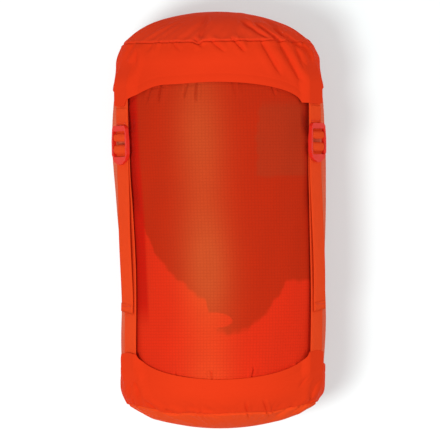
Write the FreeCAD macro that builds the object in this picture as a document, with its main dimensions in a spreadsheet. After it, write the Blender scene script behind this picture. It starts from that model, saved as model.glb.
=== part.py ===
# Compression sack: a soft cylinder of ripstop fabric with a drawcord mouth, a base cap, a lid cap
# and four webbing straps that pull the lid towards the base through ladder-lock buckles.
# The sack lies on its back. X is the width, +Y runs along the sack from the base to the lid and
# +Z points up out of the front panel. The origin is on the floor under the middle of the sack.
# All sizes are millimetres.
import FreeCAD
import Part
import math
import os

Vector = FreeCAD.Vector
Rotation = FreeCAD.Rotation
Placement = FreeCAD.Placement

SIZES = [
    ("total_length", 417.0),        # end of the base to the crown of the lid
    ("axis_height", 78.5),          # height of the sack's axis above the floor
    ("flatness", 0.78),             # depth of the section divided by its width
    ("end_half_width", 102.0),      # half width where each end dome begins
    ("base_dome", 44.0),            # height of the rounded base
    ("lid_dome", 53.0),             # height of the rounded crown
    ("low_half_width", 103.7),      # half width at the low station
    ("mid_half_width", 106.3),      # half width at the middle station
    ("high_half_width", 108.5),     # half width at the fullest station
    ("lid_half_width", 106.0),      # half width under the edge of the lid
    ("low_station", 100.0),
    ("mid_station", 230.0),
    ("high_station", 288.0),
    ("lid_station", 335.0),
    ("cloth", 1.3),                 # wall thickness of each cloth stand-in
    ("skirt_inset", 1.3),           # inner face of the two caps
    ("panel_inset", 1.7),           # outer face of the four body panels
    ("lining_inset", 3.0),          # inner face of the four body panels
    ("base_tip", 76.0),             # where the base cap's four tips end
    ("base_front_rise", 27.0),      # depth of the arch between two front tips
    ("base_side_rise", 14.0),       # depth of the arch at each side
    ("lid_tip", 324.0),             # where the lid's four tips end
    ("lid_front_rise", 21.5),
    ("lid_side_rise", 16.0),
    ("tip_inner_x", 83.5),          # half width of the front arches
    ("tip_inner_z", 28.5),          # half width of the side arches
    ("base_seam", 17.5),            # seam between base skirt and base end panel
    ("lid_seam", 385.0),            # seam between lid skirt and lid end panel
    ("seam_gap", 0.3),
    ("panel_start", 34.0),          # lower edge of the body panels, under the base cap
    ("panel_end", 352.0),           # upper edge of the body panels, under the lid
    ("side_seam_z", 38.0),          # height of the side seams above and below the axis
    ("mouth_radius", 30.0),         # radius of the gathered mouth
    ("mouth_station", 391.0),       # where the gathered mouth lies along the sack
    ("channel_radius", 4.2),
    ("channel_bore", 2.2),
    ("cord_radius", 1.5),
    ("cord_spread", 2.2),           # half the distance between the two cord ends
    ("cord_bend", 6.0),
    ("cord_reach", 55.5),           # how far the cord ends reach above the axis
    ("lock_radius", 7.0),
    ("lock_start", 379.0),
    ("lock_length", 20.0),
    ("lock_height", 44.7),          # height of the cord lock above the axis
    ("webbing_width", 20.0),
    ("webbing", 1.3),
    ("strap_distance", 96.5),       # strap's inner face from the axis, at the base of the sack
    ("strap_shift", 20.2),          # how far the straps lie round towards the sides
    ("strap_slope", 0.757),         # lean of the straps away from the axis, degrees
    ("strap_angle", 34.3),          # direction of the straps around the axis, degrees
    ("strap_start", 60.0),
    ("strap_end", 284.0),
    ("rail_half_width", 13.4),
    ("slot_half_width", 10.5),
    ("buckle_floor", 2.2),
    ("buckle_top", 6.0),
]

CORNERS = [("front_left", -1, 1), ("front_right", 1, 1), ("back_left", -1, -1), ("back_right", 1, -1)]

doc = FreeCAD.newDocument("compression_sack")
sheet = doc.addObject("Spreadsheet::Sheet", "Sizes")
for row, (alias, value) in enumerate(SIZES, start=1):
    sheet.set("A%d" % row, alias)
    sheet.set("B%d" % row, str(value))
    sheet.setAlias("B%d" % row, alias)
doc.recompute()
exports = []


def size(alias):
    return float(sheet.get(alias))


HALF_LENGTH = size("total_length") / 2.0


def add(kind, label, **expressions):
    """A parametric object whose sizes are expressions of the sheet."""
    item = doc.addObject(kind, label)
    item.Label = label
    for name, expression in expressions.items():
        item.setExpression(name.replace("__", "."), expression)
    return item


def place(item, x="0", y="0", z="0"):
    """Bind the position: y is a distance from the base end, z a height above the floor."""
    item.setExpression("Placement.Base.x", x)
    item.setExpression("Placement.Base.y", "%s - Sizes.total_length / 2" % y)
    item.setExpression("Placement.Base.z", z)
    return item


def boolean(kind, label, base, tool):
    item = doc.addObject("Part::" + kind, label)
    item.Label = label
    item.Base = base
    item.Tool = tool
    return item


def export(item):
    exports.append(item)
    return item


def box(label, low, high):
    """A box between two corners written as expressions; y from the base end, z above the axis."""
    item = add("Part::Box", label,
               Length="(%s) - (%s)" % (high[0], low[0]),
               Width="(%s) - (%s)" % (high[1], low[1]),
               Height="(%s) - (%s)" % (high[2], low[2]))
    return place(item, low[0], "(%s)" % low[1], "Sizes.axis_height + (%s)" % low[2])


def stations(inset, dome_base, dome_lid):
    """Stations of the sack's outline: distance from the base end and half width."""
    found = []
    if dome_base:
        for angle in (80, 62, 44, 26, 10):
            found.append(("Sizes.base_dome - (Sizes.base_dome - %s) * sin(%d)" % (inset, angle),
                          "(Sizes.end_half_width - %s) * cos(%d)" % (inset, angle)))
    found.append(("Sizes.base_dome", "Sizes.end_half_width - %s" % inset))
    for name in ("low", "mid", "high", "lid"):
        found.append(("Sizes.%s_station" % name, "Sizes.%s_half_width - %s" % (name, inset)))
    crown = "Sizes.total_length - Sizes.lid_dome"
    found.append((crown, "Sizes.end_half_width - %s" % inset))
    if dome_lid:
        for angle in (14, 30, 47, 64, 80):
            found.append(("%s + (Sizes.lid_dome - %s) * sin(%d)" % (crown, inset, angle),
                          "(Sizes.end_half_width - %s) * cos(%d)" % (inset, angle)))
    return found


def solid_form(label, inset):
    """The sack's outline inset by a distance, lofted through ellipses and flattened underneath."""
    rings = []
    for index, (station, half) in enumerate(stations(inset, True, True)):
        ring = add("Part::Ellipse", "%s_ring_%02d" % (label, index),
                   MajorRadius=half, MinorRadius="(%s) * Sizes.flatness" % half)
        ring.Placement = Placement(Vector(), Rotation(Vector(1, 0, 0), 90))
        place(ring, "0", "(%s)" % station, "Sizes.axis_height")
        rings.append(ring)
    loft = doc.addObject("Part::Loft", label + "_loft")
    loft.Sections = rings
    loft.Solid = True
    loft.Ruled = False
    cutter = box(label + "_floor", ("-300", "-100", "%s - Sizes.axis_height" % inset),
                 ("300", "600", "300"))
    return boolean("Common", label, loft, cutter)


outer = solid_form("cap_outside", "0")
inner = solid_form("cap_inside", "Sizes.skirt_inset")
panel_outer = solid_form("panel_outside", "Sizes.panel_inset")
panel_inner = solid_form("panel_inside", "Sizes.lining_inset")
cap_shell = boolean("Cut", "cap_shell", outer, inner)
panel_shell = boolean("Cut", "panel_shell", panel_outer, panel_inner)


def arch(label, tip, rise, half, across):
    """An elliptic cylinder that scoops an arch between two tips, across the depth or the width."""
    wide = "Sizes.%s" % half
    high = "Sizes.%s" % rise
    ring = add("Part::Ellipse", label + "_ring",
               MajorRadius="max(%s; %s)" % (wide, high), MinorRadius="min(%s; %s)" % (wide, high))
    if across == "depth":
        place(ring, "0", "Sizes." + tip, "-50")
    else:
        ring.Placement = Placement(Vector(), Rotation(Vector(0, 1, 0), 90))
        place(ring, "-150", "Sizes." + tip, "Sizes.axis_height")
    prism = doc.addObject("Part::Extrusion", label)
    prism.Base = ring
    prism.DirMode = "Custom"
    prism.Dir = Vector(0, 0, 1) if across == "depth" else Vector(1, 0, 0)
    prism.LengthFwd = 300
    prism.Solid = True
    return prism


def cap(name, tip, beyond):
    """The cap with its two front and back arches and two side arches cut into its edge."""
    front = arch(name + "_front_arch", tip, name + "_front_rise", "tip_inner_x", "depth")
    side = arch(name + "_side_arch", tip, name + "_side_rise", "tip_inner_z", "width")
    scoops = doc.addObject("Part::MultiFuse", name + "_scoops")
    scoops.Shapes = [front, side, beyond]
    return boolean("Cut", name + "_cap", cap_shell, scoops)


base_beyond = box("base_beyond", ("-200", "Sizes.base_tip", "-200"), ("200", "600", "200"))
lid_beyond = box("lid_beyond", ("-200", "-100", "-200"), ("200", "Sizes.lid_tip", "200"))
base_cap = cap("base", "base_tip", base_beyond)
lid_cap = cap("lid", "lid_tip", lid_beyond)

FAR_LOW = ("-200", "-100", "-200")
FAR_HIGH = ("200", "600", "200")


def part_of(label, whole, low, high):
    """The part of a shell that lies inside a box."""
    return boolean("Common", label, whole, box(label + "_region", low, high))


export(part_of("base_end_panel", base_cap, FAR_LOW, ("200", "Sizes.base_seam", "200")))
export(part_of("base_skirt", base_cap, ("-200", "Sizes.base_seam + Sizes.seam_gap", "-200"), FAR_HIGH))
export(part_of("lid_end_panel", lid_cap, ("-200", "Sizes.lid_seam + Sizes.seam_gap", "-200"), FAR_HIGH))
export(part_of("lid_skirt", lid_cap, FAR_LOW, ("200", "Sizes.lid_seam", "200")))

SEAM = "Sizes.side_seam_z"
GAP = "Sizes.seam_gap / 2"
START = "Sizes.panel_start"
END = "Sizes.panel_end"
export(part_of("front_panel", panel_shell, ("-200", START, "%s + %s" % (SEAM, GAP)), ("200", END, "200")))
export(part_of("back_panel", panel_shell, ("-200", START, "-200"), ("200", END, "-%s - %s" % (SEAM, GAP))))
export(part_of("left_side_panel", panel_shell,
               ("-200", START, "-%s + %s" % (SEAM, GAP)), ("0", END, "%s - %s" % (SEAM, GAP))))
export(part_of("right_side_panel", panel_shell,
               ("0", START, "-%s + %s" % (SEAM, GAP)), ("200", END, "%s - %s" % (SEAM, GAP))))


def collar_loft(label, inset):
    """A funnel from the panels' upper edge to the round gathered mouth."""
    start = "Sizes.panel_end + Sizes.seam_gap"
    neck = "Sizes.mouth_station - Sizes.channel_radius - Sizes.seam_gap"
    rings = []
    shapes = [(start, "Sizes.end_half_width - Sizes.panel_inset", "Sizes.flatness * 0.975"),
              ("0.55 * (%s) + 0.45 * (%s)" % (start, neck), "Sizes.end_half_width * 0.5", "0.85"),
              (neck, "Sizes.mouth_radius + Sizes.cloth / 2", "1")]
    for index, (station, half, ratio) in enumerate(shapes):
        major = "%s - %s" % (half, inset)
        ring = add("Part::Ellipse", "%s_ring_%d" % (label, index),
                   MajorRadius=major, MinorRadius="(%s) * %s" % (major, ratio))
        ring.Placement = Placement(Vector(), Rotation(Vector(1, 0, 0), 90))
        rings.append(place(ring, "0", "(%s)" % station, "Sizes.axis_height"))
    loft = doc.addObject("Part::Loft", label)
    loft.Sections = rings
    loft.Solid = True
    return loft


export(boolean("Cut", "mouth_collar", collar_loft("collar_outside", "0"),
               collar_loft("collar_inside", "Sizes.cloth")))


def ring_tube(label, radius):
    item = add("Part::Torus", label, Radius1="Sizes.mouth_radius", Radius2=radius)
    item.Placement = Placement(Vector(), Rotation(Vector(1, 0, 0), 90))
    return place(item, "0", "Sizes.mouth_station", "Sizes.axis_height")


channel_tube = boolean("Cut", "channel_tube", ring_tube("channel_outside", "Sizes.channel_radius"),
                       ring_tube("channel_inside", "Sizes.channel_bore"))
channel_mouth = box("channel_mouth", ("-9.5", "Sizes.mouth_station - 10", "15"),
                    ("9.5", "Sizes.mouth_station + 10", "60"))
export(boolean("Cut", "drawcord_channel", channel_tube, channel_mouth))


def cord_path():
    """The drawcord's centre line: around the mouth, then out through the cord lock side by side."""
    ring = size("mouth_radius")
    bend = size("cord_bend")
    spread = size("cord_spread")
    reach = size("cord_reach")
    top = math.sqrt((ring + bend) ** 2 - (spread + bend) ** 2)
    touch = Vector(spread + bend, 0, top) * (ring / (ring + bend))
    centre = Vector(spread + bend, 0, top)
    edges = [Part.makeLine(Vector(spread, 0, reach), Vector(spread, 0, top))]
    chord_middle = (Vector(spread, 0, top) + touch) * 0.5
    halfway = centre + (chord_middle - centre).normalize() * bend
    edges.append(Part.Arc(Vector(spread, 0, top), halfway, touch).toShape())
    mirrored = Vector(-touch.x, 0, touch.z)
    edges.append(Part.Arc(touch, Vector(0, 0, -ring), mirrored).toShape())
    halfway_back = Vector(-halfway.x, 0, halfway.z)
    edges.append(Part.Arc(mirrored, halfway_back, Vector(-spread, 0, top)).toShape())
    edges.append(Part.makeLine(Vector(-spread, 0, top), Vector(-spread, 0, reach)))
    return Part.Wire(edges)


path = cord_path()
start_circle = Part.makeCircle(size("cord_radius"), Vector(size("cord_spread"), 0, size("cord_reach")),
                               Vector(0, 0, 1))
cord = doc.addObject("Part::Feature", "drawcord")
cord.Label = "drawcord"
cord.Shape = path.makePipeShell([Part.Wire([start_circle])], True, False)
cord.Placement = Placement(Vector(0, size("mouth_station") - HALF_LENGTH, size("axis_height")), Rotation())
export(cord)


def along(label, radius, start, length):
    """A cylinder along the cord lock's own axis, which runs along the sack."""
    item = add("Part::Cylinder", label, Radius=radius, Height=length)
    item.Placement = Placement(Vector(), Rotation(Vector(1, 0, 0), -90))
    return place(item, "0", "(%s)" % start, "Sizes.axis_height + Sizes.lock_height")


def cord_slot(label, growth):
    """The oval hole that both cord ends pass through."""
    half = "Sizes.cord_spread + Sizes.cord_radius + %s" % growth
    return box(label, ("-(%s)" % half, "Sizes.mouth_station - 2.2", "Sizes.lock_height - 12"),
               (half, "Sizes.mouth_station + 2.2", "Sizes.lock_height + 12"))


barrel_block = along("barrel_block", "Sizes.lock_radius", "Sizes.lock_start + 3", "Sizes.lock_length")
barrel_bore = along("barrel_bore", "5", "Sizes.lock_start - 1", "Sizes.lock_length + 2")
barrel_cup = boolean("Cut", "barrel_cup", barrel_block, barrel_bore)
export(boolean("Cut", "cord_lock_barrel", barrel_cup, cord_slot("barrel_slot", "0.4")))
plunger_stem = along("plunger_stem", "4.7", "Sizes.lock_start", "15.5")
plunger_head = along("plunger_head", "6", "Sizes.lock_start - 4.5", "3")
plunger_neck = along("plunger_neck", "4", "Sizes.lock_start - 2", "3")
plunger_block = doc.addObject("Part::MultiFuse", "plunger_block")
plunger_block.Shapes = [plunger_stem, plunger_head, plunger_neck]
plunger_slot = box("plunger_slot", ("-4.2", "Sizes.mouth_station - 4.9", "Sizes.lock_height - 12"),
                   ("4.2", "Sizes.mouth_station + 1.9", "Sizes.lock_height + 12"))
export(boolean("Cut", "cord_lock_plunger", plunger_block, plunger_slot))


def origin_plane(body, role):
    return next(item for item in body.Origin.OriginFeatures if item.Role == role)


def sketch_on(body, label, role, offset=0.0):
    sketch = body.newObject("Sketcher::SketchObject", label)
    sketch.AttachmentSupport = [(origin_plane(body, role), "")]
    sketch.MapMode = "FlatFace"
    sketch.AttachmentOffset = Placement(Vector(0, 0, offset), Rotation())
    return sketch


def closed_outline(sketch, points):
    """A closed polygon through the given points."""
    for start, end in zip(points, points[1:] + points[:1]):
        sketch.addGeometry(Part.LineSegment(Vector(*start, 0), Vector(*end, 0)), False)


def ribbon_outline(points, thickness):
    """The outline of a band that follows a bent centre line with mitred corners."""
    sides = ([], [])
    for index, point in enumerate(points):
        before = points[max(index - 1, 0)]
        here = point
        after = points[min(index + 1, len(points) - 1)]
        first = Vector(here[0] - before[0], here[1] - before[1], 0)
        second = Vector(after[0] - here[0], after[1] - here[1], 0)
        first = first.normalize() if first.Length else second.normalize()
        second = second.normalize() if second.Length else first
        normal = Vector(-first.y - second.y, first.x + second.x, 0).normalize()
        reach = thickness / 2.0 / (normal.x * -first.y + normal.y * first.x)
        sides[0].append((here[0] + normal.x * reach, here[1] + normal.y * reach))
        sides[1].append((here[0] - normal.x * reach, here[1] - normal.y * reach))
    return sides[0] + sides[1][::-1]


def strap_frame(side, face):
    """Placement at a corner: local x out of the sack, y along the strap, z across the webbing."""
    angle = math.radians(size("strap_angle"))
    lean = math.radians(size("strap_slope"))
    out = Vector(side * math.cos(angle), 0, face * math.sin(angle))
    along_sack = Vector(0, 1, 0)
    leaning = along_sack * math.cos(lean) + out * math.sin(lean)
    facing = out * math.cos(lean) - along_sack * math.sin(lean)
    across = facing.cross(leaning)
    turn = Rotation(facing, leaning, across, "XYZ")
    sideways = Vector(side * math.sin(angle), 0, -face * math.cos(angle))
    start = out * size("strap_distance") + sideways * size("strap_shift")
    start += Vector(0, -HALF_LENGTH, size("axis_height"))
    return Placement(start, turn)


def new_body(label, frame):
    body = doc.addObject("PartDesign::Body", label)
    body.Label = label
    body.Placement = frame
    return body


def ribbon(label, frame, points):
    """A webbing band, as wide as the webbing, along a bent line of (height, station) points."""
    body = new_body(label, frame)
    sketch = sketch_on(body, label + "_edge", "XY_Plane")
    closed_outline(sketch, ribbon_outline(points, size("webbing")))
    pad = body.newObject("PartDesign::Pad", label + "_pad")
    pad.Profile = sketch
    pad.Midplane = True
    pad.setExpression("Length", "Sizes.webbing_width")
    body.Tip = pad
    return export(body)


def pocket(body, label, rectangle, floor, depth_expression, upwards):
    """A rectangular pocket between two stations and across the buckle, cut up or down."""
    sketch = sketch_on(body, label + "_sketch", "YZ_Plane", floor)
    low, high, half = rectangle
    closed_outline(sketch, [(low, -half), (high, -half), (high, half), (low, half)])
    cut = body.newObject("PartDesign::Pocket", label)
    cut.Profile = sketch
    cut.Reversed = upwards
    cut.setExpression("Length", depth_expression)
    body.Tip = cut
    return cut


def ladder_lock(label, frame):
    """A ladder-lock buckle: a frame with two webbing bars, a grip bar and a pull tab."""
    body = new_body(label, frame)
    floor = size("buckle_floor")
    top = size("buckle_top")
    wide = size("rail_half_width")
    half = size("slot_half_width")
    edge = [(303.5, wide - 3.9), (300.5, wide - 1.5), (288, wide), (275, wide), (268, wide - 3.5),
            (265.5, 4.5)]
    outline = [(s, -w) for s, w in reversed(edge)] + edge + [(264.5, 0)]
    sketch = sketch_on(body, label + "_outline", "YZ_Plane", floor)
    closed_outline(sketch, outline)
    pad = body.newObject("PartDesign::Pad", label + "_plate")
    pad.Profile = sketch
    pad.setExpression("Length", "Sizes.buckle_top - Sizes.buckle_floor")
    body.Tip = pad
    for index, (low, high) in enumerate([(281, 298), (272.5, 278)]):
        pocket(body, "%s_slot_%d" % (label, index), (low, high, half), top + 1,
               "Sizes.buckle_top - Sizes.buckle_floor + 2", False)
    pocket(body, label + "_recess", (272.5, 298, half), top, "1.4", False)
    pocket(body, label + "_grip", (255, 272.5, half), floor, "1.2", True)
    pocket(body, label + "_guard", (298, 310, half), floor, "0.9", True)
    circle = sketch_on(body, label + "_bar_sketch", "XY_Plane")
    circle.addGeometry(Part.Circle(Vector(3.2, 291.5, 0), Vector(0, 0, 1), 1.4), False)
    bar = body.newObject("PartDesign::Pad", label + "_bar")
    bar.Profile = circle
    bar.Midplane = True
    bar.setExpression("Length", "2 * Sizes.slot_half_width + 2")
    body.Tip = bar
    return export(body)


STRAP = [(0.65, size("strap_start")), (0.65, size("strap_end"))]
TAIL = [(2.35, 118), (2.35, 273), (5.6, 277), (5.6, 283), (2.4, 285.2)]
ANCHOR = [(0.65, 338), (0.65, 289.5), (3.1, 287.4), (5.6, 289.2), (5.6, 294), (2.1, 297), (2.1, 323)]

for corner, side, face in CORNERS:
    frame = strap_frame(side, face)
    ribbon("strap_" + corner, frame, STRAP)
    ribbon("tail_" + corner, frame, TAIL)
    ribbon("anchor_" + corner, frame, ANCHOR)
    ladder_lock("buckle_" + corner, frame)

coil_base = along("spring_outside", "4.4", "Sizes.lock_start + 15.8", "4.8")
coil_bore = along("spring_inside", "3.2", "Sizes.lock_start + 15", "8")
export(boolean("Cut", "cord_lock_spring", coil_base, coil_bore))

doc.recompute()
os.makedirs("parts", exist_ok=True)
for item in doc.Objects:
    if "Invalid" in item.State or "Error" in item.State:
        raise RuntimeError("%s did not build: %s" % (item.Label, item.State))
for item in exports:
    shape = item.Shape
    if shape.isNull() or not shape.isValid() or not shape.Solids:
        raise RuntimeError("%s has no valid solid" % item.Label)
    shape.exportStep("parts/%s.step" % item.Label)
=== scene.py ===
# Compression sack lying on its back: cloth, webbing and cord over the CAD frame.
# Shapes are worked out in millimetres: x across the sack, s from the base end along it, and the
# angle t around its axis, with t = 90 degrees at the middle of the front.
import math

import bpy
import numpy as np
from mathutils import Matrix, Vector


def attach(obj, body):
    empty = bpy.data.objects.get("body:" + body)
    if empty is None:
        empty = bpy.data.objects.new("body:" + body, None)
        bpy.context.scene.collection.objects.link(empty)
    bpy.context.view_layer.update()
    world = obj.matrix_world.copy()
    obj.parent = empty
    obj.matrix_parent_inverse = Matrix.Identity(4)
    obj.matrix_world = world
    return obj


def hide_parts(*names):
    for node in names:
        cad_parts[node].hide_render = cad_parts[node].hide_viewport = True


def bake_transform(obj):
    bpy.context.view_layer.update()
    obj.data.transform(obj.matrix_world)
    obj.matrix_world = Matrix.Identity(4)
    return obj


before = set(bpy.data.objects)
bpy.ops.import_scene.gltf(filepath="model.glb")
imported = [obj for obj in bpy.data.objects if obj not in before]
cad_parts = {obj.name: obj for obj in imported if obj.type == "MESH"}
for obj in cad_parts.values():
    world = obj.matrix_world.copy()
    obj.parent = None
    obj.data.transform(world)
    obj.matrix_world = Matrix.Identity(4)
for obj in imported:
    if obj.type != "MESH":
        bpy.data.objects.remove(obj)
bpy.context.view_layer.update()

MM = 0.001
LENGTH = 417.0
AXIS = 78.5         # height of the sack's axis over the floor
FLAT = 0.78         # depth of the sack as a share of its width
BASE_DOME = 44.0    # length of the rounded base end
LID_DOME = 53.0     # length of the rounded lid end
LID_SHOULDER = 364.0
FLOOR_GAP = 0.3
KNOTS = np.array([44.0, 100.0, 170.0, 230.0, 288.0, 335.0, 364.0])
WIDTHS = np.array([102.0, 103.7, 104.0, 106.3, 108.5, 106.0, 102.0])
CORNERS = [("front_left", -1, 1), ("front_right", 1, 1), ("back_left", -1, -1), ("back_right", 1, -1)]
STRAP_T = 28.2
WEBBING_WIDTH = 20.0
WEBBING_THICKNESS = 1.15


def smooth(low, high, value):
    """0 below low, 1 above high, with a smooth step between."""
    share = np.clip((np.asarray(value, float) - low) / (high - low), 0.0, 1.0)
    return share * share * (3.0 - 2.0 * share)


def bell(value, width):
    return np.exp(-(np.asarray(value, float) / width) ** 2)


def waves(value, counts, seed):
    """A repeatable sum of sines between about -1 and 1."""
    rng = np.random.default_rng(seed)
    total = 0.0
    for count in counts:
        total = total + np.sin(np.asarray(value, float) * count + rng.uniform(0, 2 * math.pi))
    return total / len(counts) ** 0.5


def half_width(s):
    """Half width of the sack at a station, domes included."""
    s = np.asarray(s, float)
    slopes = np.gradient(WIDTHS, KNOTS)
    slopes[0] = slopes[-1] = 0.0
    index = np.clip(np.searchsorted(KNOTS, s) - 1, 0, len(KNOTS) - 2)
    span = KNOTS[index + 1] - KNOTS[index]
    u = np.clip((s - KNOTS[index]) / span, 0.0, 1.0)
    a = (2 * u ** 3 - 3 * u ** 2 + 1) * WIDTHS[index] + (u ** 3 - 2 * u ** 2 + u) * span * slopes[index]
    b = (-2 * u ** 3 + 3 * u ** 2) * WIDTHS[index + 1] + (u ** 3 - u ** 2) * span * slopes[index + 1]
    body = a + b
    low = np.clip((BASE_DOME - s) / BASE_DOME, 0.0, 1.0)
    high = np.clip((s - LID_SHOULDER) / LID_DOME, 0.0, 1.0)
    return body * np.sqrt(1.0 - low ** 2) * np.sqrt(1.0 - high ** 2)


def bow(s):
    """The stuffed sack isn't quite straight: its middle sits a little to the right of its ends."""
    return 2.6 * bell(np.asarray(s, float) - 145.0, 85.0) - 2.5 * smooth(372.0, 412.0, s)


def skin(s, t, lift):
    """Points of the sack's skin, raised by lift and pressed flat where it meets the floor."""
    s, t, lift = np.broadcast_arrays(np.asarray(s, float), np.asarray(t, float), np.asarray(lift, float))
    wide = half_width(s)
    low = np.clip((BASE_DOME - s) / BASE_DOME, 0.0, 1.0)
    high = np.clip((s - LID_SHOULDER) / LID_DOME, 0.0, 1.0)
    shrink = np.sqrt(1.0 - np.maximum(low, high) ** 2)
    x = (wide + lift * shrink) * np.cos(np.radians(t)) + bow(s)
    z = (wide * FLAT + lift * shrink) * np.sin(np.radians(t))
    y = s + lift * (np.where(high > 0, high, -low))
    height = AXIS + z
    soft = 1.6
    pressed = FLOOR_GAP + soft * np.log1p(np.exp(np.clip((height - FLOOR_GAP) / soft, -30, 20)))
    height = np.where(height - FLOOR_GAP > 20 * soft, height, pressed)
    return np.stack([x, y - LENGTH / 2, height], axis=-1)


def crease(x, s, start, end, width, depth):
    """A pinched fold between two points of the flat front view: a valley with a ridge beside it."""
    ax, ay = start
    bx, by = end
    length = math.hypot(bx - ax, by - ay)
    ux, uy = (bx - ax) / length, (by - ay) / length
    along = (x - ax) * ux + (s - ay) * uy
    across = -(x - ax) * uy + (s - ay) * ux
    share = along / length
    fade = smooth(-0.12, 0.25, share) * (1.0 - smooth(0.7, 1.12, share))
    valley = bell(across, 0.42 * width)
    ridges = 0.9 * bell(across - 1.4 * width, 1.1 * width) + 0.35 * bell(across + 1.5 * width, width)
    return 1.6 * depth * fade * (ridges - valley)


def mesh_object(name, points, faces, material, smooth_shade=True, uv=None, colour=None):
    """A mesh in metres from points in millimetres."""
    mesh = bpy.data.meshes.new(name)
    mesh.from_pydata((np.asarray(points) * MM).tolist(), [], faces)
    mesh.update()
    if uv is not None:
        layer = mesh.uv_layers.new(name="weave")
        loops = np.empty(len(mesh.loops), dtype=np.int32)
        mesh.loops.foreach_get("vertex_index", loops)
        layer.data.foreach_set("uv", np.asarray(uv, float)[loops].reshape(-1))
    if colour is not None:
        attribute = mesh.color_attributes.new(name="tone", type="FLOAT_COLOR", domain="POINT")
        full = np.ones((len(points), 4))
        full[:, :3] = colour
        attribute.data.foreach_set("color", full.reshape(-1))
    mesh.materials.append(material)
    mesh.polygons.foreach_set("use_smooth", [smooth_shade] * len(mesh.polygons))
    item = bpy.data.objects.new(name, mesh)
    bpy.context.scene.collection.objects.link(item)
    return item


def grid_faces(rows, columns, closed=False):
    """Quads between the points of a grid; closed also joins the last column to the first."""
    faces = []
    last = columns if closed else columns - 1
    for row in range(rows - 1):
        for column in range(last):
            after = (column + 1) % columns
            faces.append((row * columns + column, row * columns + after,
                          (row + 1) * columns + after, (row + 1) * columns + column))
    return faces


# ---------------------------------------------------------------- materials

def new_material(name, roughness, sheen=0.0, coat=0.0, gloss=0.2):
    material = bpy.data.materials.new(name)
    material.use_nodes = True
    shader = material.node_tree.nodes["Principled BSDF"]
    shader.inputs["Roughness"].default_value = roughness
    shader.inputs["Sheen Weight"].default_value = sheen
    shader.inputs["Sheen Roughness"].default_value = 0.45
    shader.inputs["Sheen Tint"].default_value = (1.0, 0.55, 0.42, 1.0)
    shader.inputs["Specular IOR Level"].default_value = gloss
    shader.inputs["IOR"].default_value = 1.5 if gloss > 0.1 else 1.12
    shader.inputs["Coat Weight"].default_value = coat
    shader.inputs["Coat Roughness"].default_value = 0.25
    return material, material.node_tree, shader


def node(tree, kind, **settings):
    """A new shader node with the given settings."""
    item = tree.nodes.new(kind)
    for key, value in settings.items():
        setattr(item, key, value)
    return item


def maths(tree, operation, first, second=None):
    item = node(tree, "ShaderNodeMath", operation=operation)
    for index, value in enumerate((first, second)):
        if value is None:
            continue
        if isinstance(value, (int, float)):
            item.inputs[index].default_value = value
        else:
            tree.links.new(value, item.inputs[index])
    return item.outputs[0]


def mix(tree, share, first, second):
    item = node(tree, "ShaderNodeMix", data_type="RGBA")
    for socket, value in ((item.inputs[0], share), (item.inputs[6], first), (item.inputs[7], second)):
        if isinstance(value, (int, float)):
            socket.default_value = value
        elif isinstance(value, tuple):
            socket.default_value = (*value, 1.0)
        else:
            tree.links.new(value, socket)
    return item.outputs[2]


def noise(tree, vector, scale, detail):
    item = node(tree, "ShaderNodeTexNoise")
    item.inputs["Scale"].default_value = scale
    item.inputs["Detail"].default_value = detail
    tree.links.new(vector, item.inputs["Vector"])
    return item.outputs["Fac"]


def bump(tree, shader, height, distance, strength):
    item = node(tree, "ShaderNodeBump")
    item.inputs["Strength"].default_value = strength
    item.inputs["Distance"].default_value = distance
    tree.links.new(height, item.inputs["Height"])
    tree.links.new(item.outputs["Normal"], shader.inputs["Normal"])


def grid_lines(tree, uv, pitch, share):
    """1 on the threads of a square grid of the given pitch in metres, 0 between."""
    split = node(tree, "ShaderNodeSeparateXYZ")
    tree.links.new(uv, split.inputs[0])
    found = []
    for axis in (0, 1):
        cell = maths(tree, "FRACT", maths(tree, "DIVIDE", split.outputs[axis], pitch))
        found.append(maths(tree, "LESS_THAN", cell, share))
    return maths(tree, "MAXIMUM", found[0], found[1])


def ripstop_material():
    """Thin ripstop whose colour comes from what presses behind it, and from the painted highlight, light
    and shade held in its tone attribute.
    """
    material, tree, shader = new_material("ripstop", 0.55, 0.02, 0.0, 0.06)
    tone = node(tree, "ShaderNodeVertexColor", layer_name="tone")
    uv = node(tree, "ShaderNodeUVMap", uv_map="weave")
    lines = grid_lines(tree, uv.outputs[0], 0.003, 0.2)
    coordinates = node(tree, "ShaderNodeTexCoord")
    mottled = noise(tree, coordinates.outputs["Object"], 38.0, 4.0)
    shade = mix(tree, maths(tree, "MULTIPLY", mottled, 0.22), tone.outputs[0], (0.30, 0.03, 0.01))
    threads = mix(tree, 0.11, shade, (0.20, 0.025, 0.012))
    colour = mix(tree, lines, shade, threads)
    tree.links.new(colour, shader.inputs["Base Color"])
    fine = noise(tree, coordinates.outputs["Object"], 900.0, 2.0)
    height = maths(tree, "ADD", maths(tree, "MULTIPLY", lines, 1.0), maths(tree, "MULTIPLY", fine, 0.6))
    bump(tree, shader, height, 0.00012, 0.7)
    return material


def cloth_material(name, colour, dark):
    """Plain woven cloth with slight variation and a fine weave."""
    material, tree, shader = new_material(name, 0.55, 0.0, 0.0, 0.05)
    coordinates = node(tree, "ShaderNodeTexCoord")
    large = noise(tree, coordinates.outputs["Object"], 16.0, 4.0)
    shade = mix(tree, maths(tree, "MULTIPLY", large, 0.5), colour, dark)
    tree.links.new(shade, shader.inputs["Base Color"])
    fine = noise(tree, coordinates.outputs["Object"], 1100.0, 2.0)
    wrinkle = noise(tree, coordinates.outputs["Object"], 55.0, 3.0)
    height = maths(tree, "ADD", maths(tree, "MULTIPLY", fine, 0.1), maths(tree, "MULTIPLY", wrinkle, 0.9))
    bump(tree, shader, height, 0.0009, 0.45)
    return material


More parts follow.
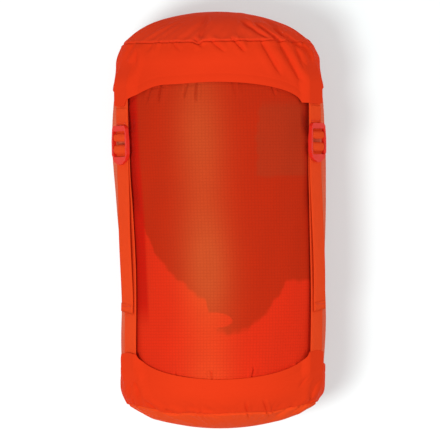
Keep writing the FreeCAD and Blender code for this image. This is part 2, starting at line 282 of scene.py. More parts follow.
def webbing_material(name, colour, dark):
    """Flat webbing: ribs across it."""
    material, tree, shader = new_material(name, 0.7, 0.02, 0.0, 0.1)
    uv = node(tree, "ShaderNodeUVMap", uv_map="weave")
    split = node(tree, "ShaderNodeSeparateXYZ")
    tree.links.new(uv.outputs[0], split.inputs[0])
    across = maths(tree, "SINE", maths(tree, "MULTIPLY", split.outputs[0], 2 * math.pi / 0.0016))
    along = maths(tree, "SINE", maths(tree, "MULTIPLY", split.outputs[1], 2 * math.pi / 0.0011))
    weave = maths(tree, "MULTIPLY", across, along)
    shade = mix(tree, maths(tree, "ADD", maths(tree, "MULTIPLY", weave, 0.14), 0.2), colour, dark)
    tree.links.new(shade, shader.inputs["Base Color"])
    bump(tree, shader, weave, 0.00025, 0.8)
    return material


def plain_material(name, colour, roughness, coat=0.0, metallic=0.0):
    material, tree, shader = new_material(name, roughness, 0.0, coat, 0.16)
    shader.inputs["Metallic"].default_value = metallic
    shader.inputs["Base Color"].default_value = (*colour, 1.0)
    coordinates = node(tree, "ShaderNodeTexCoord")
    bump(tree, shader, noise(tree, coordinates.outputs["Object"], 420.0, 2.0), 0.00008, 0.4)
    return material


RIPSTOP = ripstop_material()
CAP = cloth_material("cap_cloth", (0.78, 0.044, 0.009), (0.67, 0.027, 0.007))
BASE = cloth_material("base_cloth", (0.79, 0.046, 0.009), (0.68, 0.030, 0.007))
CROWN = cloth_material("crown_cloth", (0.79, 0.050, 0.013), (0.67, 0.033, 0.010))
# lit copy of the base cloth: the base end's brighter, more orange colour is a painted highlight
BASE_END_LIT = cloth_material("base_end_cloth", (0.86, 0.074, 0.014), (0.76, 0.050, 0.010))
LINING = cloth_material("mouth_cloth", (0.46, 0.022, 0.006), (0.36, 0.014, 0.005))
WEBBING = webbing_material("webbing", (0.95, 0.077, 0.015), (0.77, 0.045, 0.009))
BUCKLE = plain_material("buckle_plastic", (0.77, 0.022, 0.009), 0.42, 0.03)
LOCK = plain_material("lock_plastic", (0.02, 0.02, 0.022), 0.4, 0.2)
STEEL = plain_material("spring_steel", (0.6, 0.6, 0.62), 0.25, 0.0, 1.0)
CORD = webbing_material("cord_braid", (0.5, 0.05, 0.02), (0.3, 0.02, 0.01))
THREAD = plain_material("thread", (0.78, 0.05, 0.01), 0.6)


# ---------------------------------------------------------------- axes of the straps

class StrapFrame:
    """Local axes at one corner: h out of the sack, s along the strap, w across the webbing."""

    def __init__(self, side, face):
        angle = math.radians(34.3)
        lean = math.radians(0.757)
        out = np.array([side * math.cos(angle), 0.0, face * math.sin(angle)])
        along = np.array([0.0, 1.0, 0.0])
        self.s_axis = along * math.cos(lean) + out * math.sin(lean)
        self.h_axis = out * math.cos(lean) - along * math.sin(lean)
        self.w_axis = np.cross(self.h_axis, self.s_axis)
        sideways = np.array([side * math.sin(angle), 0.0, -face * math.cos(angle)])
        self.origin = out * 96.5 + sideways * 20.2 + np.array([0.0, -LENGTH / 2, AXIS])
        self.inner = 1.0 if self.w_axis[0] * side < 0 else -1.0

    def point(self, h, s, w):
        h, s, w = np.broadcast_arrays(np.asarray(h, float), np.asarray(s, float), np.asarray(w, float))
        place = (self.origin + h[..., None] * self.h_axis + s[..., None] * self.s_axis
                 + w[..., None] * self.w_axis)
        place[..., 0] += bow(np.minimum(s, 372.0)) * (1.0 - smooth(225.0, 262.0, s))
        return place

    def local(self, points):
        offset = np.asarray(points, float) - self.origin
        return offset @ self.h_axis, offset @ self.s_axis, offset @ self.w_axis

    def metres(self, h, s):
        return tuple(float(v) for v in self.point(h, s, 0.0) * MM)


# ---------------------------------------------------------------- cap edges

def scoop(distance, half, rise):
    """Height of a half ellipse over its base line."""
    return rise * np.sqrt(np.clip(1.0 - (distance / half) ** 2, 0.0, 1.0))


def edge_depth(t, front_rise, side_rise, drift=0.0):
    """How far a cap's edge lies behind its tips; drift shifts the front arch to the left."""
    x = np.abs(103.5 * np.cos(np.radians(t)) + drift * (np.sin(np.radians(t)) > 0))
    z = np.abs(80.7 * np.sin(np.radians(t)))
    return np.where(x < 83.5, scoop(x, 83.5, front_rise), scoop(z, 28.5, side_rise))


def strap_distance(t):
    """Distance around the sack from the middle of the nearest strap."""
    folded = np.abs(np.mod(np.asarray(t, float) + 90.0, 180.0) - 90.0)
    return np.abs(folded - STRAP_T) * 1.5


def base_edge(t):
    return 76.5 + 1.8 * bell(strap_distance(t), 8.0) - edge_depth(t, 25.0, 14.0)


def lid_edge(t):
    x = 103.5 * np.cos(np.radians(t))
    shoulder = 2.6 * bell(x + 60.0, 16.0) * (np.sin(np.radians(t)) > 0)
    return 323.5 - 1.2 * bell(strap_distance(t), 9.0) + edge_depth(t, 21.0, 16.0, 4.0) + shoulder


def base_seam(t):
    """The base's end seam, which climbs towards the two sides."""
    return 17.5 + 8.0 * smooth(58.0, 100.0, np.abs(102.0 * np.cos(np.radians(t))))


def lid_seam(t):
    """The lid's end seam, pinched down a little at one place on the front."""
    x = 94.0 * np.cos(np.radians(t))
    front = (np.sin(np.radians(t)) > 0) * 1.0
    return 385.0 - 2.6 * front * bell(x + 19.0, 4.5) - 2.0 * front * smooth(40, 92, x)


# ---------------------------------------------------------------- wrinkles

LID_CREASES = [
    ((-7, 412), (-17, 386), 5.5, 1.6), ((-22, 388), (-15, 379), 3.0, 1.2),
    ((25, 405), (52, 385), 3.0, 2.0), ((38, 402), (64, 382), 3.0, 2.4),
    ((54, 398), (76, 380), 2.8, 2.4), ((67, 391), (86, 374), 2.8, 2.2),
    ((80, 386), (92, 366), 2.6, 1.6),
    ((42, 387), (62, 352), 4.2, 1.7), ((60, 384), (84, 342), 3.6, 1.8),
    ((75, 380), (92, 336), 3.0, 1.2), ((90, 376), (95, 326), 2.2, 0.9),
    ((14, 388), (27, 374), 2.6, 1.3), ((-8, 387), (7, 374), 3.0, 0.9),
    ((-80, 386), (-92, 368), 3.2, 1.5), ((-78, 384), (-88, 330), 2.6, 0.8),
    ((-60, 388), (-70, 376), 3.0, 0.6), ((-45, 386), (-38, 376), 2.6, 0.6),
]
BASE_CREASES = [
    ((-84, 66), (-94, 30), 3.2, 1.5), ((-88, 64), (-80, 24), 3.4, 1.5),
    ((-93, 56), (-86, 20), 2.8, 1.2), ((-76, 30), (-58, 16), 2.6, 1.7),
    ((-56, 22), (-40, 15), 2.2, 1.4), ((-36, 19), (-4, 15), 1.8, 1.0),
    ((92, 66), (76, 42), 3.0, 1.0), ((96, 58), (84, 26), 3.2, 1.4),
    ((90, 30), (66, 16), 2.6, 1.8), ((70, 24), (52, 12), 2.4, 1.2),
    ((40, 30), (46, 12), 2.2, 0.9), ((22, 28), (26, 10), 2.0, 0.8),
]
PANEL_CREASES = [
    ((-56, 350), (-60, 326), 2.2, 1.7), ((-66, 344), (-72, 326), 2.2, 1.0),
    ((-21, 350), (-23, 325), 2.0, 1.9), ((-29, 350), (-35, 328), 2.2, 1.2),
    ((14, 350), (18, 330), 2.4, 0.7), ((52, 348), (57, 330), 2.4, 0.8),
    ((-11, 47), (-12, 61), 1.5, 1.6), ((28, 47), (31, 63), 1.7, 1.6),
    ((72, 52), (76, 66), 1.6, 0.9), ((-46, 50), (-49, 60), 1.6, 0.7),
    ((-70, 96), (-10, 92), 2.4, 0.35), ((-40, 88), (34, 95), 3.0, 0.3),
]


def fold_sum(points_x, s, t, creases, seed):
    """The listed folds on the front, and mirrored, weaker, reshuffled ones at the back."""
    total = 0.0
    front = smooth(-4.0, 10.0, np.mod(t + 90.0, 360.0) - 90.0) * (1 - smooth(170.0, 184.0, t))
    for start, end, width, depth in creases:
        total = total + front * crease(points_x, s, start, end, width, depth)
    order = np.random.default_rng(seed)
    for start, end, width, depth in creases:
        shift = order.uniform(-14, 14)
        start_back = (-start[0] + shift, start[1])
        end_back = (-end[0] + shift, end[1])
        total = total + 0.8 * (1 - front) * crease(points_x, s, start_back, end_back, width, depth)
    return total


def seam_pucker(s, t, seam, seed, strength=1.0):
    """A sewn seam: a narrow groove, with small puckers running out of it on both sides."""
    distance = s - seam
    groove = 0.9 * bell(distance, 3.2) - (1.4 + 1.3 * np.abs(np.sin(np.radians(t)))) * bell(distance, 0.8)
    ridge = np.abs(waves(np.radians(t), (23, 37, 51), seed))
    tug = waves(np.radians(t), (5, 9), seed + 1)
    pucker = (ridge - 0.6) * (0.35 + 0.65 * np.clip(tug, 0, 1)) * np.exp(-np.abs(distance) / 5.0)
    return groove + strength * 1.1 * pucker


def cap_lift(s, t, which):
    """Height of a cap's cloth above its smooth outline."""
    x = half_width(s) * np.cos(np.radians(t))
    around = np.radians(t)
    if which == "lid":
        folds = fold_sum(x, s, t, LID_CREASES, 5)
        seam = seam_pucker(s, t, lid_seam(t), 21)
        broad = 0.7 * waves(around, (3, 5, 8), 31) * smooth(372, 392, s) * (1 - smooth(404, 416, s))
        gathers = 0.5 * waves(around + 0.012 * (s - 385), (17, 29, 41), 33)
        gathers = gathers * smooth(380, 392, s) * (1 - smooth(398, 412, s))
    else:
        folds = fold_sum(x, s, t, BASE_CREASES, 6)
        seam = seam_pucker(s, t, base_seam(t), 22, 1.2)
        broad = 0.8 * waves(around, (4, 7, 11), 32) * (1 - smooth(24, 44, s)) * smooth(2, 10, s)
        gathers = 0.28 * waves(around - 0.015 * s, (19, 31, 43), 34) * (1 - smooth(20, 34, s))
        gathers = gathers * smooth(2, 12, s)
    return folds + seam + broad + gathers


def over_straps(s, t, lift, which):
    """Raises a cap's cloth where it laps over the four sewn strap ends."""
    smooth_skin = skin(s, t, 0.0)
    for _, side, face in CORNERS:
        place = StrapFrame(side, face)
        h, _, w = place.local(smooth_skin)
        if which == "base":
            wanted = (2.5 - h) * smooth(40.0, 60.0, s)
        else:
            wanted = (2.6 - h) * smooth(370.0, 342.0, s)
        cover = smooth(20.0, 9.8, np.abs(w)) * (h > -20.0)
        lift = lift + np.maximum(wanted - lift, 0.0) * cover
    return lift


def cap_skirt(name, which, body):
    """The cap's side cloth, from its end seam to its arched edge with a turned hem."""
    columns = 900
    t = np.linspace(0.0, 360.0, columns, endpoint=False)
    edge = base_edge(t) if which == "base" else lid_edge(t)
    seam = base_seam(t) if which == "base" else lid_seam(t)
    shares = np.linspace(0.0, 1.0, 96)
    rows_s = [seam + (edge - seam) * share for share in shares]
    s = np.array(rows_s)
    angle = np.broadcast_to(t, s.shape)
    lift = cap_lift(s, angle, which)
    inward = 1.0 if which == "lid" else -1.0
    back = (s - edge) * inward
    lift = lift + 0.2 * bell(back - 4.0, 3.0) - 0.15 * bell(back - 8.5, 1.2)
    lift = np.clip(lift, -1.2, 3.2)
    lift = over_straps(s, angle, lift, which)
    hem_s = edge + inward * 3.0
    points = [skin(s, angle, lift)]
    turned = skin(np.array([edge, hem_s]), np.broadcast_to(t, (2, columns)),
                  np.array([lift[-1] - 0.8, lift[-1] - 1.2]))
    points.append(turned)
    grid = np.concatenate(points)
    rows = grid.shape[0]
    around = np.radians(angle) * 95.0
    uv = np.stack([np.concatenate([around, around[:2]]), np.concatenate([s, s[:2]])], -1) * MM
    item = mesh_object(name, grid.reshape(-1, 3), grid_faces(rows, columns, True),
                       BASE if which == "base" else CAP, uv=uv.reshape(-1, 2))
    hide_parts(which + "_skirt")
    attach(item, body)


def cap_end(name, which, body):
    """The gathered end panel, from its seam to the middle of the end."""
    columns = 900
    t = np.linspace(0.0, 360.0, columns, endpoint=False)
    if which == "base":
        start = base_seam(t)
        dome, centre, sign = BASE_DOME, BASE_DOME, -1.0
    else:
        start = lid_seam(t)
        dome, centre, sign = LID_DOME, LID_SHOULDER, 1.0
    begin = np.arcsin(np.clip(sign * (start - centre) / dome, -1, 1))
    shares = np.linspace(0.0, 1.0, 80)
    s = np.array([centre + sign * dome * np.sin(begin + (math.pi / 2 - begin) * share * 0.995)
                  for share in shares])
    angle = np.broadcast_to(t, s.shape)
    lift = np.clip(cap_lift(s, angle, which), -1.4, 3.0)
    fade = 1.0 - smooth(0.75, 1.0, shares)[:, None]
    grid = skin(s, angle, lift * fade - 0.15)
    uv = np.stack([np.radians(angle) * 80.0, s], -1) * MM
    # the base end takes the lit copy of the base cloth, a painted highlight
    item = mesh_object(name, grid.reshape(-1, 3), grid_faces(len(shares), columns, True),
                       CROWN if which == "lid" else BASE_END_LIT, uv=uv.reshape(-1, 2))
    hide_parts(which + "_end_panel")
    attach(item, body)


# ---------------------------------------------------------------- body panels

BRIGHT = np.array([0.78, 0.028, 0.0074])
BRICK = np.array([0.54, 0.024, 0.005])
# SHEEN and GLOW: painted highlight colours for the sheen band, on the dark and on the bright cloth
SHEEN = np.array([0.62, 0.082, 0.020])
GLOW = np.array([0.85, 0.092, 0.020])
BROWN = np.array([0.46, 0.036, 0.010])
# DEEP: deep red of painted light through the cloth by the left strap; darkened, it is also painted shade by
# the straps
DEEP = np.array([0.60, 0.006, 0.003])
# painted grazing light: the side panels' paler, pinker tone
SIDE_GRAZING_LIGHT = np.array([0.83, 0.147, 0.067])


def contents_edge(x):
    """Lower edge of the dark contents that show through the front, as a station for each x.

    It falls towards the middle, steps down there, and climbs again to a level shoulder at the right."""
    reach = np.clip(-21.0 - x, 0.0, None)
    left = 129.0 + 0.75 * reach + 2.5e-6 * reach ** 4
    right = np.minimum(95.0 + 0.0165 * (x - 8.0) ** 2, 145.0)
    return right + (left - right) * smooth(-10.0, -20.0, x)


def front_tone(x, s):
    """Colour of the front panel: dark contents, brighter empty cloth below, a soft band of painted
    highlight, painted light through the cloth by the left strap and painted shade beside the straps.
    """
    wobble = 0.9 * waves(x, (0.35, 0.62), 41) + 0.9 * waves(s, (0.3, 0.7), 42)
    tongue = smooth(1.05, 0.9, ((x + 11 + 0.25 * (s - 109)) / 20.0) ** 2 + ((s - 110) / 8.0) ** 2)
    dark = smooth(-3.2, 3.2, s - 2.0 - contents_edge(x) + wobble) * (1.0 - tongue)
    # painted highlight: a soft vertical sheen band, lighter cloth where the light catches it
    sheen = bell(x + 17.0 + 0.02 * (s - 200), 24.0)
    sheen = sheen * (0.75 + 0.25 * waves(s, (0.021, 0.047), 43))
    brown = smooth(35, 40, x - 0.22 * np.clip(s - 300, 0, 40) + 1.2 * waves(s, (0.2, 0.5), 44))
    brown = brown * smooth(249, 254, s + 0.25 * (x - 40) * smooth(60, 40, x)) * (1 - smooth(316, 330, s))
    tone = BRIGHT[None, :] * np.ones(x.shape)[:, None]
    tone = tone + (GLOW - tone) * (0.85 * sheen)[:, None]
    brick = BRICK + (SHEEN - BRICK) * np.clip(sheen, 0, 1)[:, None]
    brick = brick + (BROWN - brick) * (0.7 * brown)[:, None]
    tone = tone + (brick - tone) * dark[:, None]
    # painted light: a deep red strip where light shows through the thin cloth beside the left strap
    light_through_strip = smooth(-76.0, -80.0, x + 0.03 * (s - 200)) * smooth(100, 130, s)
    tone = tone + (DEEP - tone) * (0.85 * light_through_strip)[:, None]
    # painted shade: the panel darkens towards both side edges, where it runs in beside the straps
    edge = smooth(82.0, 90.0, np.abs(x))
    tone = tone + (DEEP * 0.8 - tone) * (0.5 * edge)[:, None]
    return np.clip(tone, 0, 1)


def panel(name, cad_node, low_t, high_t, columns, rows=300):
    """One body panel, tucked under both caps and under the straps at its two side seams."""
    t = np.linspace(low_t, high_t, columns)
    s_line = np.linspace(38.0, 353.0, rows)
    s, angle = np.meshgrid(s_line, t, indexing="ij")
    x = half_width(s) * np.cos(np.radians(angle))
    around = np.radians(angle)
    seam = np.minimum(np.abs(angle - low_t), np.abs(high_t - angle)) * 1.6
    lift = -1.9 - 1.1 * bell(seam, 2.2)
    if cad_node == "front_panel":
        lift = lift + 0.7 * bell(seam - 13.0, 7.0)
    soft = 0.5 * waves(s / 60.0 + around * 2, (2, 3.3), 51) + 0.3 * waves(around * 9 + s / 45.0, (1, 2), 52)
    soft = soft * smooth(0, 16, seam)
    lift = lift + soft + fold_sum(x, s, angle, PANEL_CREASES, 7)
    pull = np.abs(waves(s, (0.55, 0.9, 1.31), 53)) * np.exp(-seam / 4.0) * 0.5
    lift = np.clip(lift + pull, -3.2, -0.5)
    under = np.maximum(base_edge(angle) + 1.5 - s, s - lid_edge(angle) + 1.5)
    lift = lift - 0.5 * smooth(-2.0, 2.0, under)
    lift = np.minimum(lift, np.where(under > -1.0, -1.5, 3.0))
    pressed = np.where(x < 0.0, 2.0, 1.0) * smooth(205.0, 235.0, s) * smooth(302.0, 290.0, s)
    lift = lift - np.maximum(3.2 * bell(s - 305.0, 13.0), pressed) * smooth(20.0, 10.5, seam)
    grid = skin(s, angle, lift)
    flat_x = x.reshape(-1)
    flat_s = s.reshape(-1)
    if cad_node == "front_panel":
        colour = front_tone(flat_x, flat_s)
    else:
        cloudy = 0.5 + 0.5 * np.clip(waves(flat_s / 40.0 + flat_x / 33.0, (1.0, 1.7, 2.9), 61), -1, 1)
        # the side panels take the paler tone of painted grazing light
        base = BRICK if cad_node == "back_panel" else SIDE_GRAZING_LIGHT
        colour = base[None, :] + (BRIGHT - base)[None, :] * (0.3 * cloudy)[:, None]
    uv = np.stack([around * 92.0, s], -1).reshape(-1, 2) * MM
    item = mesh_object(name, grid.reshape(-1, 3), grid_faces(rows, columns), RIPSTOP, uv=uv, colour=colour)
    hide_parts(cad_node)
    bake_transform(item)


# ---------------------------------------------------------------- mouth

CHANNEL_STATION = 391.0
CHANNEL_RADIUS = 30.0


def collar():
    """The body cloth, drawn in from the panels' ends to the mouth in growing pleats."""
    columns, count = 600, 60
    t = np.linspace(0.0, 360.0, columns, endpoint=False)
    shares = np.linspace(0.0, 1.0, count)
    around = np.radians(t)
    rows = []
    for share in shares:
        s = 351.5 + 35.0 * share
        wide = 100.0 + (31.0 - 100.0) * (1 - (1 - share) ** 2.2)
        flat = FLAT * 0.975 + (1.0 - FLAT * 0.975) * smooth(0.0, 0.8, share)
        pleat = 2.4 * np.abs(waves(around, (19, 31), 71)) * share * (0.4 + wide / 100.0) - 1.2 * share
        radius = wide + pleat
        rows.append(np.stack([radius * np.cos(around), np.full(columns, s - LENGTH / 2),
                              AXIS + radius * flat * np.sin(around)], -1))
    grid = np.array(rows)
    grid[..., 2] = np.maximum(grid[..., 2], 2.0)
    uv = np.stack([np.tile(around * 60, (count, 1)), np.tile(shares[:, None] * 60, (1, columns))], -1) * MM
    item = mesh_object("collar_cloth", grid.reshape(-1, 3), grid_faces(count, columns, True), LINING,
                       uv=uv.reshape(-1, 2))
    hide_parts("mouth_collar")
    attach(item, "mouth")


def cord_channel():
    """The gathered tube around the mouth that holds the drawcord, open where the cord comes out."""
    ring_t = np.radians(np.linspace(108.5, 431.5, 420))
    sides = 28
    turn = np.linspace(0, 2 * math.pi, sides, endpoint=False)
    radius = 3.7 + 0.45 * np.abs(waves(ring_t, (30, 47), 72))
    grid = np.empty((len(ring_t), sides, 3))
    for index, angle in enumerate(ring_t):
        reach = CHANNEL_RADIUS + radius[index] * np.cos(turn)
        grid[index, :, 0] = reach * math.cos(angle)
        grid[index, :, 1] = CHANNEL_STATION - LENGTH / 2 + radius[index] * np.sin(turn)
        grid[index, :, 2] = AXIS + reach * math.sin(angle)
    item = mesh_object("channel_cloth", grid.reshape(-1, 3), grid_faces(len(ring_t), sides, True), LINING,
                       uv=np.zeros((grid.size // 3, 2)))
    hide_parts("drawcord_channel")
    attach(item, "mouth")


def cord_line():
    """The drawcord's centre line: down one side of the lock, around the mouth and back up."""
    ring, bend, spread, reach = CHANNEL_RADIUS, 6.0, 2.2, 55.5
    top = math.sqrt((ring + bend) ** 2 - (spread + bend) ** 2)
    line = [(spread, z) for z in np.linspace(reach, top, 12)]
    swing = math.atan2(spread + bend, top)
    for angle in np.linspace(math.pi, 1.5 * math.pi - swing, 12)[1:]:
        line.append((spread + bend + bend * math.cos(angle), top + bend * math.sin(angle)))
    for angle in np.linspace(swing, 2 * math.pi - swing, 200)[1:-1]:
        line.append((ring * math.sin(angle), ring * math.cos(angle)))
    mirrored = [(-x, z) for x, z in line[:23]][::-1]
    return line + mirrored


def tube(name, line, radius, material, sides=14):
    """A round tube along a line of points in millimetres."""
    line = np.asarray(line, float)
    tangent = np.gradient(line, axis=0)
    tangent = tangent / np.linalg.norm(tangent, axis=1)[:, None]
    side = np.tile(np.array([0.0, 1.0, 0.0]), (len(line), 1))
    other = np.cross(tangent, side)
    turn = np.linspace(0, 2 * math.pi, sides, endpoint=False)
    grid = line[:, None, :] + radius * (np.cos(turn)[None, :, None] * side[:, None, :]
                                        + np.sin(turn)[None, :, None] * other[:, None, :])
    length = np.concatenate([[0], np.cumsum(np.linalg.norm(np.diff(line, axis=0), axis=1))])
    uv = np.stack(np.broadcast_arrays(turn[None, :] * radius, length[:, None]), -1) * MM
    faces = grid_faces(len(line), sides, True)
    faces.append(tuple(range(sides)))
    faces.append(tuple(range((len(line) - 1) * sides, len(line) * sides))[::-1])
    return mesh_object(name, grid.reshape(-1, 3), faces, material, uv=uv.reshape(-1, 2))


def drawcord():
    line = [(x, CHANNEL_STATION - LENGTH / 2, AXIS + z) for x, z in cord_line()]
    cord = tube("cord_braid", line, 1.5, CORD)
    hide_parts("drawcord")
    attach(cord, "mouth")


def lock_spring():
    """The cord lock's coil, from the plunger up into the barrel."""
    start, height, radius = 379.0, AXIS + 44.7, 3.8
    low, high = start + 16.1, start + 20.3
    turns = np.linspace(0.0, 2 * math.pi * 3.5, 110)
    coil = [(radius * math.cos(a), low + (high - low) * a / turns[-1] - LENGTH / 2,
             height + radius * math.sin(a)) for a in turns]
    spring = tube("lock_spring_coil", coil, 0.25, STEEL, 8)
    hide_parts("cord_lock_spring")
    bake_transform(spring)


def paint(cad_node, material):
    """Gives its material to a CAD node that is kept as it is."""
    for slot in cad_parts[cad_node].material_slots:
        slot.material = material


# ---------------------------------------------------------------- straps

def rounded(points, passes=3):
    """Corner cutting of an open line, ends kept."""
    line = np.asarray(points, float)
    for _ in range(passes):
        cut = [line[0]]
        for a, b in zip(line[:-1], line[1:]):
            cut.append(a * 0.75 + b * 0.25)
            cut.append(a * 0.25 + b * 0.75)
        cut.append(line[-1])
        line = np.array(cut)
    return line


def resampled(line, step):
    """The line at even spacing, and the length along it at each point."""
    lengths = np.concatenate([[0], np.cumsum(np.linalg.norm(np.diff(line, axis=0), axis=1))])
    count = max(int(lengths[-1] / step), 2)
    wanted = np.linspace(0, lengths[-1], count)
    return np.stack([np.interp(wanted, lengths, line[:, k]) for k in range(2)], -1), wanted


def band(name, place, line, lateral=None, thick=WEBBING_THICKNESS, slant=0.0):
    """Webbing along a line of (h, s) points, with rounded edges and a slight cup across it.

    lateral gives its sideways shift at a station, and slant cuts its free end at an angle."""
    line, lengths = resampled(np.asarray(line, float), 1.6)
    tangent = np.gradient(line, axis=0)
    tangent = tangent / np.linalg.norm(tangent, axis=1)[:, None]
    normal = np.stack([tangent[:, 1], -tangent[:, 0]], -1)
    half = WEBBING_WIDTH / 2
    cup = 0.35
    section = []
    for w in np.linspace(-half + 0.5, half - 0.5, 15):
        section.append((w, thick / 2))
    section += [(half - 0.12, thick * 0.3), (half, 0.0), (half - 0.12, -thick * 0.3)]
    for w in np.linspace(half - 0.5, -half + 0.5, 15):
        section.append((w, -thick / 2))
    section += [(-half + 0.12, -thick * 0.3), (-half, 0.0), (-half + 0.12, thick * 0.3)]
    section = np.array(section)
    shift = np.zeros(len(line)) if lateral is None else lateral(line[:, 1])
    w = section[None, :, 0] + shift[:, None]
    n = section[None, :, 1] - cup * (section[None, :, 0] / half) ** 2
    h = line[:, 0][:, None] + n * normal[:, 0][:, None]
    s = line[:, 1][:, None] + n * normal[:, 1][:, None]
    s = s + slant * w * smooth(136.0, 120.0, s)
    grid = place.point(h, s, w)
    count = len(section)
    faces = grid_faces(len(line), count, True)
    faces.append(tuple(range(count)))
    faces.append(tuple(range((len(line) - 1) * count, len(line) * count))[::-1])
    uv = np.stack(np.broadcast_arrays(section[None, :, 0], lengths[:, None]), -1) * MM
    return mesh_object(name, grid.reshape(-1, 3), faces, WEBBING, uv=uv.reshape(-1, 2))


def stitches(name, place, rows):
    """Short thread stitches along rows of (start s, start w, end s, end w, height) on the webbing."""
    lift = 0.12
    points, faces = [], []
    for s0, w0, s1, w1, height in rows:
        count = max(int(math.hypot(s1 - s0, w1 - w0) / 2.4), 1)
        for index in range(count):
            a = (index + 0.12) / count
            b = (index + 0.82) / count
            ends = [(s0 + (s1 - s0) * k, w0 + (w1 - w0) * k) for k in (a, b)]
            direction = np.array([s1 - s0, w1 - w0]) / math.hypot(s1 - s0, w1 - w0)
            across = np.array([-direction[1], direction[0]]) * 0.32
            first = len(points)
            for (s, w), share in zip((ends[0], ends[1]), (0, 1)):
                for sign, rise in ((-1, 0.0), (0, 0.34), (1, 0.0)):
                    points.append(place.point(height + lift + rise - 0.05, s + across[0] * sign,
                                              w + across[1] * sign))
            faces.append((first, first + 1, first + 4, first + 3))
            faces.append((first + 1, first + 2, first + 5, first + 4))
    item = mesh_object(name, np.array(points), faces, THREAD, smooth_shade=False)
    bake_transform(item)


def standing_strap(name, place):
    """The strap that runs from the base cap to the buckle, sagging on to the body between them."""
    s_line = np.linspace(66.0, 284.0, 110)
    h_line = 0.65 - np.sin(np.pi * np.clip((s_line - 78) / 200, 0, 1)) ** 2
    strap = band("standing_strap_" + name, place, np.stack([h_line, s_line], -1))
    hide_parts("strap_" + name)
    place.metres(0, 84)
    place.metres(0, 282)
    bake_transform(strap)


def loose_tail(name, place, side, seed):
    """The loose tail, over the buckle's bar and back along the strap, with its folded and sewn end."""
    inward = place.inner
    swing = np.random.default_rng(seed).uniform(-0.8, 0.8)
    low, high = (0.6, 1.1) if side < 0 else (0.0, 0.2)
    path = [(2.6 + low, 117.5), (2.4 + low, 122)]
    for s in np.linspace(130, 262, 34):
        rise = low * float(smooth(262, 200, s)) + high * math.sin(math.pi * (s - 118) / 150) ** 2
        wave = 0.22 * math.sin((s - 118) / 21.0 + seed) * (1 - (s - 118) / 150)
        path.append((2.35 + rise + wave, s))
    path += [(2.3, 269.5), (2.3, 274.8), (4.0, 276.0), (5.65, 277.0), (5.75, 278.6), (5.75, 281.8),
             (5.0, 283.8), (2.2, 284.2)]

    def drift(s):
        away = smooth(250, 120, s)
        return inward * (-1.6 * away) + 0.5 * swing * np.sin((s - 118) / 30.0) * away

    tail_body = "tail_" + name
    start = place.metres(2, 266)
    end = place.metres(2, 119)
    tail = band("loose_tail_" + name, place, rounded(path, 2), drift, slant=-0.16 * inward)
    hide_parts(tail_body)
    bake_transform(tail)
    hem_line = np.array([(3.25 + low, 118.0), (3.2 + low, 121), (2.95 + low, 126.5)])
    hem = band("tail_hem_" + name, place, rounded(hem_line, 1), drift, thick=0.7, slant=-0.16 * inward)
    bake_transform(hem)
    shift = float(drift(np.array([124.0]))[0])
    rows = [(124.0, -8.5 + shift, 124.0, 8.5 + shift, 3.4 + low)]
    stitches("hem_thread_" + name, place, rows)


def anchor_loop(name, place):
    """The loop that holds the buckle to the lid: around its bar and sewn down on itself."""
    path = [(0.65, 341), (0.65, 330), (0.65, 300), (0.65, 289.6), (2.2, 288.2), (4.8, 288.2),
            (5.7, 289.4), (5.7, 293.6), (4.9, 295.0), (2.5, 295.4), (1.95, 297), (1.95, 319), (1.6, 320.5)]
    start = place.metres(1, 304)
    end = place.metres(1, 321)
    anchor = band("anchor_loop_" + name, place, rounded(path, 3))
    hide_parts("anchor_" + name)
    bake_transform(anchor)
    rows = [(306.0, -8.6, 306.0, 8.6, 2.45), (304.2, -8.6, 304.2, 8.6, 2.45)]
    stitches("anchor_thread_" + name, place, rows)


def corner(index, name, side, face):
    """One corner's strap, tail and anchor loop, around the buckle from the CAD frame."""
    place = StrapFrame(side, face)
    standing_strap(name, place)
    loose_tail(name, place, side, 80 + index)
    anchor_loop(name, place)
    paint("buckle_" + name, BUCKLE)


# ---------------------------------------------------------------- build

cap_skirt("base_skirt_cloth", "base", "base")
cap_end("base_end_cloth", "base", "base")
cap_skirt("lid_skirt_cloth", "lid", "lid")
cap_end("lid_end_cloth", "lid", "lid")
panel("front_cloth", "front_panel", STRAP_T, 180 - STRAP_T, 260)
panel("back_cloth", "back_panel", 180 + STRAP_T, 360 - STRAP_T, 200, 200)
panel("right_side_cloth", "right_side_panel", -STRAP_T, STRAP_T, 110, 240)
panel("left_side_cloth", "left_side_panel", 180 - STRAP_T, 180 + STRAP_T, 110, 240)
collar()
cord_channel()
drawcord()
for corner_index, (corner_name, corner_side, corner_face) in enumerate(CORNERS):
    corner(corner_index, corner_name, corner_side, corner_face)
lock_spring()
paint("cord_lock_barrel", LOCK)
paint("cord_lock_plunger", LOCK)

# ---------------------------------------------------------------- floor, light, camera

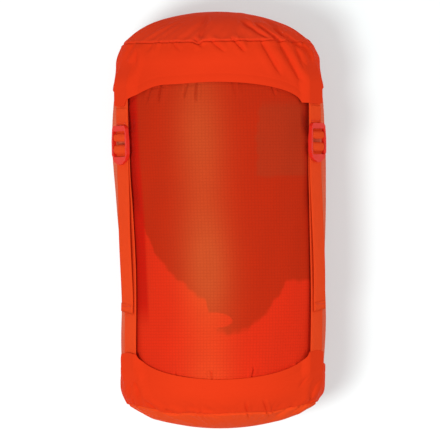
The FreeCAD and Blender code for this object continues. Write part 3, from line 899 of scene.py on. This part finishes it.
floor_mesh = bpy.data.meshes.new("floor")
floor_mesh.from_pydata([(-6, -6, 0), (6, -6, 0), (6, 6, 0), (-6, 6, 0)], [], [(0, 1, 2, 3)])
floor = bpy.data.objects.new("floor", floor_mesh)
bpy.context.scene.collection.objects.link(floor)
floor_material, _, floor_shader = new_material("floor", 0.9)
floor_shader.inputs["Base Color"].default_value = (0.33, 0.36, 0.36, 1.0)
floor_shader.inputs["Emission Color"].default_value = (1.0, 1.0, 1.0, 1.0)
floor_shader.inputs["Emission Strength"].default_value = 0.44
floor_mesh.materials.append(floor_material)


def area_light(name, position, target, size, power, colour=(1.0, 1.0, 1.0)):
    data = bpy.data.lights.new(name, "AREA")
    data.shape = "DISK"
    data.size = size
    data.energy = power
    data.color = colour
    item = bpy.data.objects.new(name, data)
    item.location = position
    item.rotation_euler = (Vector(target) - Vector(position)).to_track_quat("-Z", "Y").to_euler()
    bpy.context.scene.collection.objects.link(item)
    return item


area_light("key", (-0.95, -0.5, 2.2), (0, 0, 0.05), 0.6, 27.0)
area_light("fill", (1.7, 0.2, 1.5), (0, 0, 0.05), 1.6, 12.0)
area_light("top", (0.0, -0.2, 3.2), (0, 0, 0), 2.0, 14.0)
floor_key = area_light("floor_key", (-0.66, -0.42, 2.35), (0, 0, 0.05), 0.6, 50.0)
floor_only = bpy.data.collections.new("floor_only")
floor_only.objects.link(floor)
floor_key.light_linking.receiver_collection = floor_only
world = bpy.data.worlds.new("studio")
world.use_nodes = True
world.node_tree.nodes["Background"].inputs[0].default_value = (1.0, 1.0, 1.0, 1.0)
world.node_tree.nodes["Background"].inputs[1].default_value = 0.42
bpy.context.scene.world = world
bpy.context.scene.view_settings.view_transform = "Standard"

camera_data = bpy.data.cameras.new("camera")
camera = bpy.data.objects.new("camera", camera_data)
camera.location = (0.0, 0.0, 5.0)
camera.rotation_euler = (0.0, 0.0, math.radians(-0.8))
camera_data.sensor_width = 36.0
camera_data.lens = 36.0 * (5.0 - 0.08) / 0.440
bpy.context.scene.collection.objects.link(camera)
bpy.context.scene.camera = camera
